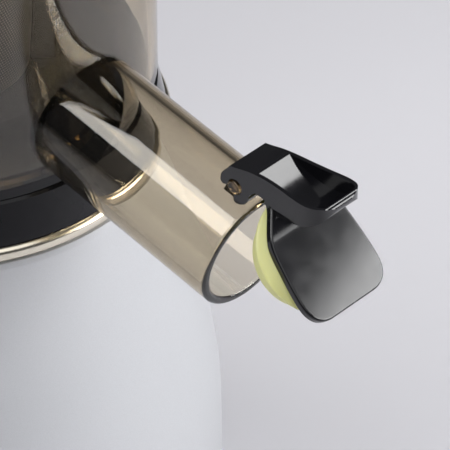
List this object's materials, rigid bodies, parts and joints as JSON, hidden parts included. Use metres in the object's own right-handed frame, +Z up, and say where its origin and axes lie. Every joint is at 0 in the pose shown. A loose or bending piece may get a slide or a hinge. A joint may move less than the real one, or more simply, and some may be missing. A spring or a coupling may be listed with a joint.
{
  "type": "vertical slow juicer",
  "caption": "Screw-press juicer with a clear smoke bowl, black snap cap on the juice spout and a flared pearl grey motor base.",
  "frame": {"origin": "on the bowl's axis, in the plane of the rubber feet's undersides", "axes": "+Z up along the bowl's axis; the juice spout points to -Y, the pulp outlet to -X, the switch to +X and the cord gland to +Y"},
  "size_m": [0.2002, 0.2884, 0.445],
  "materials": {
    "shell": "satin pearl",
    "trim": "polished champagne",
    "black_gloss": "gloss",
    "black_matte": "matte",
    "smoke_clear": "clear smoke tint",
    "seal_yellow": "satin",
    "seal_black": "matte",
    "steel": "ground",
    "mesh_steel": "perforated",
    "core_steel": "laminated",
    "copper": "enamelled wire",
    "gear_nylon": "moulded",
    "housing_grey": "moulded",
    "auger_dark": "satin",
    "board_green": "matte"
  },
  "bodies": {
    "base": {"base_shell": "shell", "trim_ring": "trim", "drive_deck": "black_gloss", "base_floor": "black_matte", "rubber_feet": "seal_black", "floor_screws": "steel", "motor_frame": "core_steel", "motor_stator": "core_steel", "motor_windings": "copper", "motor_bearings": "steel", "gearbox_housing": "housing_grey", "gearbox_lid": "housing_grey", "gearbox_screws": "steel", "output_bearings": "steel", "shaft_seal": "seal_black", "control_board": "board_green", "switch_bezel": "black_matte", "cord_gland": "black_matte", "bowl_sensor": "black_matte"},
    "rotor": {"motor_rotor": "steel", "motor_pinion": "steel", "cooling_fan": "black_matte"},
    "layshaft": {"lay_shaft": "steel", "lay_wheel": "gear_nylon", "lay_pinion": "steel"},
    "output": {"output_gear": "gear_nylon", "drive_shaft": "steel"},
    "switch": {"power_rocker": "black_gloss"},
    "bowl": {"juicing_bowl": "smoke_clear", "bowl_foot": "black_gloss", "bowl_seal": "seal_yellow", "idler_pin": "steel", "strainer_mesh": "mesh_steel", "strainer_frame": "black_gloss"},
    "cap": {"juice_cap": "black_gloss", "cap_seal": "seal_yellow"},
    "screw": {"auger": "auger_dark", "auger_socket": "steel"},
    "idler": {"idler_gear": "steel"},
    "wiper": {"wiper_cage": "black_gloss", "wiper_blades": "seal_black"},
    "lid": {"lid": "black_gloss", "lid_gasket": "seal_yellow"},
    "pusher": {"pusher": "black_gloss"}
  },
  "joints": [
    {"name": "motor_spin", "type": "hinge", "parent": "base", "child": "rotor", "pos_m": [0, 0, 0.064], "axis": [0, 0, 1], "continuous": true},
    {"name": "layshaft_spin", "type": "hinge", "parent": "base", "child": "layshaft", "pos_m": [0.0375, 0, 0.125], "axis": [0, 0, 1], "continuous": true},
    {"name": "output_spin", "type": "hinge", "parent": "base", "child": "output", "pos_m": [0, 0, 0.15], "axis": [0, 0, 1], "continuous": true},
    {"name": "rocker_tilt", "type": "hinge", "parent": "base", "child": "switch", "pos_m": [0.088, 0, 0.065], "axis": [0, 1, 0], "range_deg": [-5, 5]},
    {"name": "bowl_lift", "type": "slide", "parent": "base", "child": "bowl", "axis": [0, 0, 1], "range_m": [0, 0.12]},
    {"name": "cap_flip", "type": "hinge", "parent": "bowl", "child": "cap", "pos_m": [0, -0.14283, 0.25503], "axis": [1, 0, 0], "range_deg": [-60, 55]},
    {"name": "screw_spin", "type": "hinge", "parent": "bowl", "child": "screw", "pos_m": [0, 0, 0.25], "axis": [0, 0, 1], "continuous": true},
    {"name": "idler_spin", "type": "hinge", "parent": "bowl", "child": "idler", "pos_m": [0.01875, 0, 0.22], "axis": [0, 0, 1], "continuous": true},
    {"name": "wiper_spin", "type": "hinge", "parent": "bowl", "child": "wiper", "pos_m": [0, 0, 0.25], "axis": [0, 0, 1], "continuous": true},
    {"name": "lid_twist", "type": "hinge", "parent": "bowl", "child": "lid", "pos_m": [0, 0, 0.345], "axis": [0, 0, 1], "range_deg": [0, 25]},
    {"name": "pusher_slide", "type": "slide", "parent": "lid", "child": "pusher", "axis": [0, 0, 1], "range_m": [0, 0.06]}
  ],
  "couplings": [
    {"joint": "layshaft_spin", "follows": "motor_spin", "ratio": -0.25},
    {"joint": "output_spin", "follows": "motor_spin", "ratio": 0.0625},
    {"joint": "screw_spin", "follows": "motor_spin", "ratio": 0.0625},
    {"joint": "idler_spin", "follows": "motor_spin", "ratio": -0.09375},
    {"joint": "wiper_spin", "follows": "motor_spin", "ratio": -0.026786}
  ]
}
